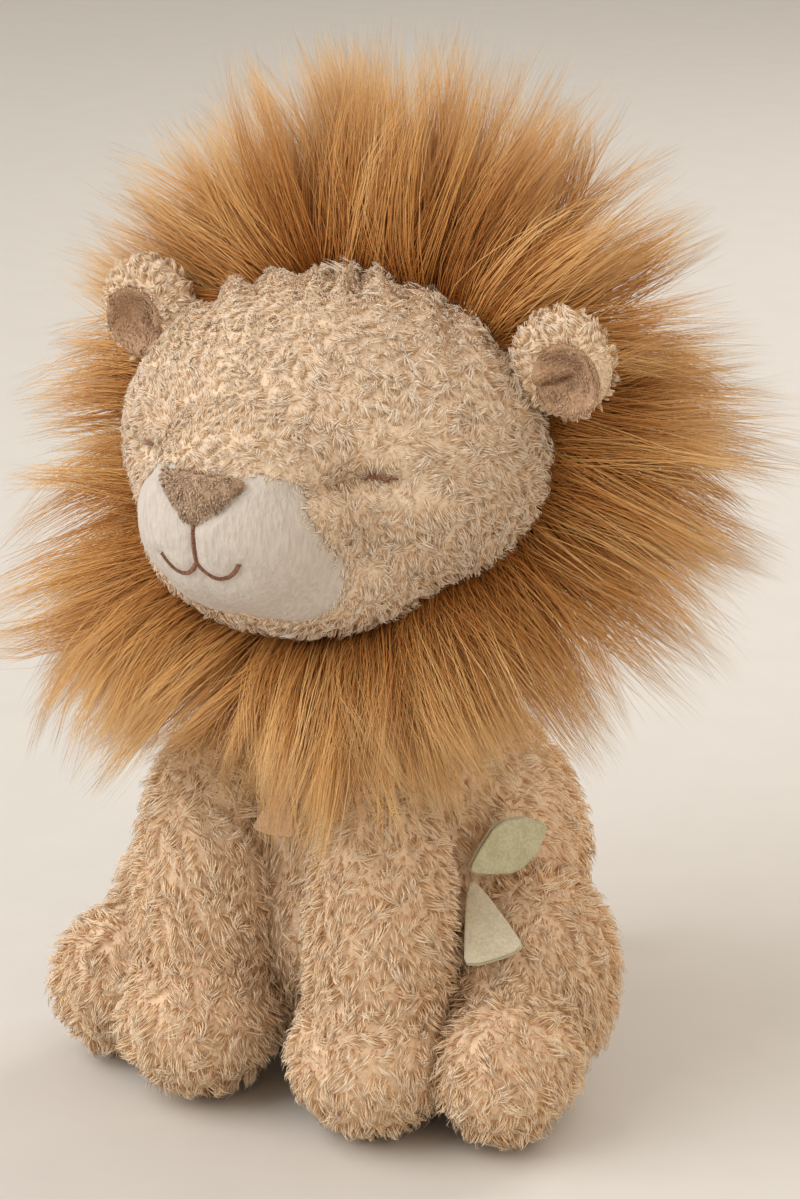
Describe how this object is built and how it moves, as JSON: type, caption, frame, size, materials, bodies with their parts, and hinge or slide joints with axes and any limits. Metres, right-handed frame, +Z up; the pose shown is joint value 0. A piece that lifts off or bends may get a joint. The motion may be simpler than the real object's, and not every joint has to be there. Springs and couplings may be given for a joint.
{
  "type": "plush lion",
  "caption": "Sitting plush lion of curly cream fleece, with a long caramel fur ruff round a head that turns and nods, sewn legs, ears and tail.",
  "frame": {"origin": "middle of the toy's plan box, on the surface it sits on", "axes": "+Z up, the toy faces -Y, its left flank is at +X"},
  "size_m": [0.1632, 0.1529, 0.2275],
  "materials": {
    "curly_fleece": "curly pile",
    "mane_fur": "long soft fur",
    "white_plush": "short plush",
    "nose_plush": "short plush",
    "brown_thread": "twisted thread",
    "ear_plush": "short plush",
    "stuffing": "fibre fill",
    "bean_cloth": "plain weave bag of beans",
    "green_felt": "brushed cotton",
    "cream_felt": "brushed cotton",
    "tan_felt": "brushed cotton"
  },
  "bodies": {
    "torso": {"body_skin": "curly_fleece", "body_stuffing": "stuffing", "bean_bag": "bean_cloth", "leaf_tan": "tan_felt"},
    "neck": {"neck_plug": "curly_fleece"},
    "head": {"head_skin": "curly_fleece", "head_stuffing": "stuffing", "mane": "mane_fur", "muzzle_panel": "white_plush", "nose_patch": "nose_plush", "mouth_stitching": "brown_thread", "eye_stitching_left": "brown_thread", "eye_stitching_right": "brown_thread"},
    "ear_left": {"ear_left": "curly_fleece", "ear_lining_left": "ear_plush"},
    "ear_right": {"ear_right": "curly_fleece", "ear_lining_right": "ear_plush"},
    "front_leg_left": {"front_leg_skin_left": "curly_fleece", "front_leg_sole_left": "curly_fleece", "front_leg_stuffing_left": "stuffing"},
    "front_leg_right": {"front_leg_skin_right": "curly_fleece", "front_leg_sole_right": "curly_fleece", "front_leg_stuffing_right": "stuffing"},
    "hind_leg_left": {"hind_leg_skin_left": "curly_fleece", "hind_leg_sole_left": "curly_fleece", "hind_leg_stuffing_left": "stuffing"},
    "hind_leg_right": {"hind_leg_skin_right": "curly_fleece", "hind_leg_sole_right": "curly_fleece", "hind_leg_stuffing_right": "stuffing"},
    "tail": {"tail": "curly_fleece", "tail_tuft": "mane_fur"},
    "leaf_green": {"leaf_green": "green_felt", "leaf_green_backing": "cream_felt"},
    "leaf_cream": {"leaf_beige": "cream_felt", "leaf_beige_backing": "green_felt"}
  },
  "joints": [
    {"name": "head_turn", "type": "hinge", "parent": "torso", "child": "neck", "pos_m": [0, -0.0061, 0.103], "axis": [0, 0, 1], "range_deg": [-20, 20], "stiffness_Nm_per_rad": 0.8},
    {"name": "head_nod", "type": "hinge", "parent": "neck", "child": "head", "pos_m": [0, -0.0061, 0.103], "axis": [1, 0, 0], "range_deg": [-15, 0], "stiffness_Nm_per_rad": 1.5},
    {"name": "ear_left_fold", "type": "hinge", "parent": "head", "child": "ear_left", "pos_m": [0.04374, -0.01559, 0.164], "axis": [0.5694, 0, -0.8221], "range_deg": [0, 25], "stiffness_Nm_per_rad": 0.03},
    {"name": "ear_right_fold", "type": "hinge", "parent": "head", "child": "ear_right", "pos_m": [-0.04374, -0.01559, 0.164], "axis": [0.5694, 0, 0.8221], "range_deg": [0, 25], "stiffness_Nm_per_rad": 0.03},
    {"name": "front_leg_left_swing", "type": "hinge", "parent": "torso", "child": "front_leg_left", "pos_m": [0.022, -0.0311, 0.086], "axis": [-1, 0, 0], "range_deg": [0, 25], "stiffness_Nm_per_rad": 0.4},
    {"name": "front_leg_right_swing", "type": "hinge", "parent": "torso", "child": "front_leg_right", "pos_m": [-0.022, -0.0311, 0.086], "axis": [-1, 0, 0], "range_deg": [0, 25], "stiffness_Nm_per_rad": 0.4},
    {"name": "hind_leg_left_splay", "type": "hinge", "parent": "torso", "child": "hind_leg_left", "pos_m": [0.041, 0.0149, 0], "axis": [0, 0, 1], "range_deg": [0, 20], "stiffness_Nm_per_rad": 0.4},
    {"name": "hind_leg_right_splay", "type": "hinge", "parent": "torso", "child": "hind_leg_right", "pos_m": [-0.041, 0.0149, 0], "axis": [0, 0, -1], "range_deg": [0, 20], "stiffness_Nm_per_rad": 0.4},
    {"name": "tail_swing", "type": "hinge", "parent": "torso", "child": "tail", "pos_m": [0, 0.0509, 0.04], "axis": [0, 1, 0], "range_deg": [-15, 15], "stiffness_Nm_per_rad": 0.03},
    {"name": "leaf_green_flap", "type": "hinge", "parent": "torso", "child": "leaf_green", "pos_m": [0.03674, -0.02572, 0.05763], "axis": [0.2503, 0.271, -0.9295], "range_deg": [0, 40], "stiffness_Nm_per_rad": 0.003},
    {"name": "leaf_cream_flap", "type": "hinge", "parent": "torso", "child": "leaf_cream", "pos_m": [0.03706, -0.02595, 0.05605], "axis": [-0.7839, -0.5524, -0.2834], "range_deg": [0, 30], "stiffness_Nm_per_rad": 0.003}
  ]
}
